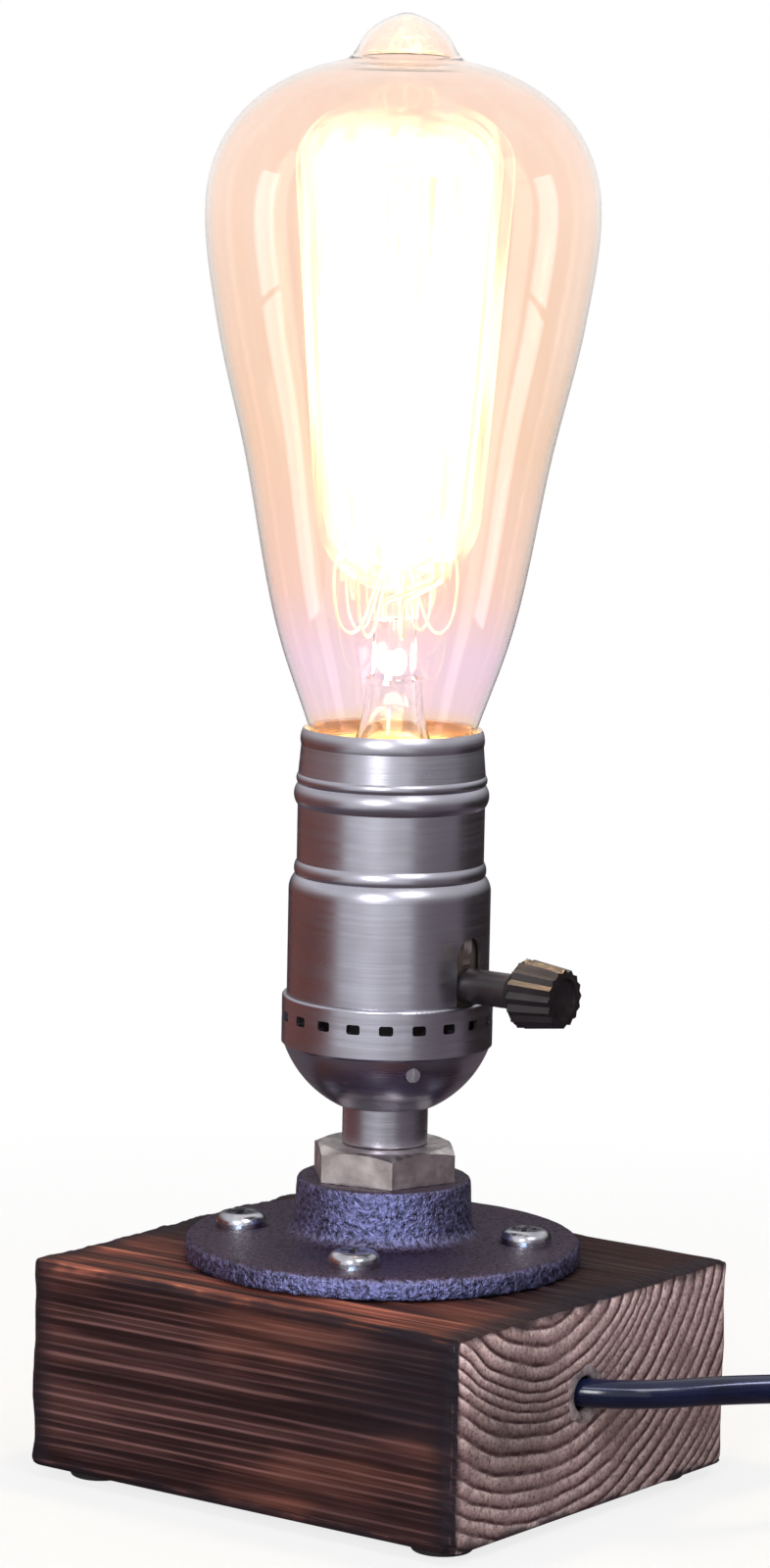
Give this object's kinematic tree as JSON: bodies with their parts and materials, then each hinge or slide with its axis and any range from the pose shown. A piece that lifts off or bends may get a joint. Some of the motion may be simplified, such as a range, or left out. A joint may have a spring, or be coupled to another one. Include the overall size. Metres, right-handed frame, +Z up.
{
  "type": "desk lamp",
  "caption": "Bare-bulb desk lamp: drop-shaped filament bulb in a metal lampholder with a turn switch, on a pipe flange and a charred wood block with a plug-in cord.",
  "frame": {"origin": "on the floor, under the bulb's axis and the middle of the wood block", "axes": "+Z up the bulb's axis, +X out of the end-grain face that the cord leaves by, +Y to its left"},
  "size_m": [0.1846, 0.1278, 0.2407],
  "materials": {
    "charred_pine": "scorched and brushed, matt oil",
    "black_rubber": "matt",
    "black_iron": "rough casting, black",
    "zinc_steel": "bright zinc plate",
    "pale_zinc": "dull pale plate",
    "pewter": "satin, dark pewter plate",
    "phenolic": "moulded, dark brown",
    "contact_brass": "drawn, semi-bright",
    "fibre_sleeve": "pressed fibre",
    "black_bakelite": "moulded, low gloss",
    "solder": "dull solder",
    "amber_glass": "clear, warm tint",
    "clear_glass": "clear",
    "lit_filament": "glowing wire",
    "black_cord": "smooth sheath",
    "white_lead": "smooth sheath"
  },
  "bodies": {
    "lamp": {"base_block": "charred_pine", "rubber_feet": "black_rubber", "pipe_flange": "black_iron", "flange_screws": "zinc_steel", "hex_bushing": "pale_zinc", "threaded_nipple": "zinc_steel", "nipple_nut": "zinc_steel", "cap_neck": "pewter", "socket_cap": "pewter", "cap_screw": "zinc_steel", "socket_shell": "pewter", "core_lower": "phenolic", "core_upper": "phenolic", "core_strap": "pale_zinc", "screw_shell": "contact_brass", "shell_liner": "fibre_sleeve", "centre_contact": "contact_brass", "detent_spring": "zinc_steel", "terminal_plates": "contact_brass", "terminal_screws": "contact_brass", "live_lead": "black_cord", "neutral_lead": "white_lead", "cord_inside": "black_cord", "cord_run": "black_cord", "cord_coil": "black_cord", "coil_ties": "black_rubber", "cord_tail": "black_cord", "plug_body": "black_cord", "plug_blades": "contact_brass"},
    "switch": {"switch_shaft": "contact_brass", "switch_rotor": "phenolic", "switch_knob": "black_bakelite"},
    "bulb_lift": {"bulb_tip": "solder"},
    "bulb": {"bulb_cap": "contact_brass", "bulb_insulator": "black_bakelite", "bulb_glass": "amber_glass", "glass_stem": "clear_glass", "filament": "lit_filament", "support_wires": "zinc_steel", "lead_wires": "zinc_steel"}
  },
  "joints": [
    {"name": "switch_turn", "type": "hinge", "parent": "lamp", "child": "switch", "pos_m": [0, 0, 0.0844], "axis": [1, 0, 0], "continuous": true},
    {"name": "bulb_rise", "type": "slide", "parent": "lamp", "child": "bulb_lift", "axis": [0, 0, 1], "range_m": [0, 0.02]},
    {"name": "bulb_turn", "type": "hinge", "parent": "bulb_lift", "child": "bulb", "pos_m": [0, 0, 0.121], "axis": [0, 0, 1], "range_deg": [0, 1980]}
  ],
  "couplings": [
    {"joint": "bulb_rise", "follows": "bulb_turn", "m_per_rad": 0.0005776}
  ]
}
